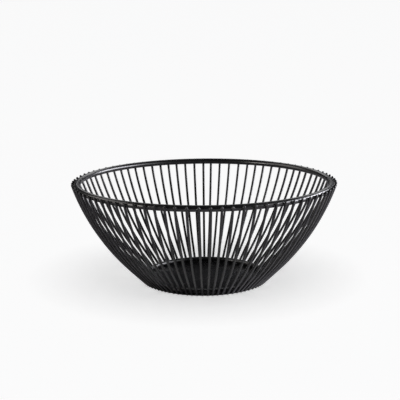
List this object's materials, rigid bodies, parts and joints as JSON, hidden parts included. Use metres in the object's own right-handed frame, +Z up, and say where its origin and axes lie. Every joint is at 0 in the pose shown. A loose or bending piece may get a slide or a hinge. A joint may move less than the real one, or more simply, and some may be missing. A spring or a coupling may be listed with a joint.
{
  "type": "bread basket",
  "caption": "Round bowl-shaped bread basket of upright steel wires welded between a flat round base and a thick rim rod, powder coated black.",
  "frame": {"origin": "middle of the base disc's underside, on the surface the basket stands on", "axes": "+Z up out of the bowl's mouth; -Y is the front; the bowl is round about Z"},
  "size_m": [0.261, 0.2611, 0.1017],
  "materials": {
    "rod_coat": "satin black powder coat on the rim rod and base ring",
    "wire_coat": "satin black powder coat on the wall wires",
    "plate_coat": "satin black powder coat on the base disc"
  },
  "bodies": {
    "root": {"base_plate": "plate_coat", "base_ring": "rod_coat", "rim_rod": "rod_coat", "wall_wires_01": "wire_coat", "wall_wires_02": "wire_coat", "wall_wires_03": "wire_coat", "wall_wires_04": "wire_coat", "wall_wires_05": "wire_coat", "wall_wires_06": "wire_coat", "wall_wires_07": "wire_coat", "wall_wires_08": "wire_coat", "wall_wires_09": "wire_coat", "wall_wires_10": "wire_coat", "wall_wires_11": "wire_coat", "wall_wires_12": "wire_coat", "wall_wires_13": "wire_coat", "wall_wires_14": "wire_coat", "wall_wires_15": "wire_coat", "wall_wires_16": "wire_coat", "wall_wires_17": "wire_coat", "wall_wires_18": "wire_coat", "wall_wires_19": "wire_coat", "wall_wires_20": "wire_coat", "wall_wires_21": "wire_coat", "wall_wires_22": "wire_coat", "wall_wires_23": "wire_coat", "wall_wires_24": "wire_coat", "wall_wires_25": "wire_coat", "wall_wires_26": "wire_coat", "wall_wires_27": "wire_coat", "wall_wires_28": "wire_coat", "wall_wires_29": "wire_coat", "wall_wires_30": "wire_coat", "wall_wires_31": "wire_coat", "wall_wires_32": "wire_coat", "wall_wires_33": "wire_coat", "wall_wires_34": "wire_coat", "wall_wires_35": "wire_coat", "wall_wires_36": "wire_coat", "wall_wires_37": "wire_coat", "wall_wires_38": "wire_coat", "wall_wires_39": "wire_coat", "wall_wires_40": "wire_coat", "wall_wires_41": "wire_coat"}
  },
  "joints": []
}
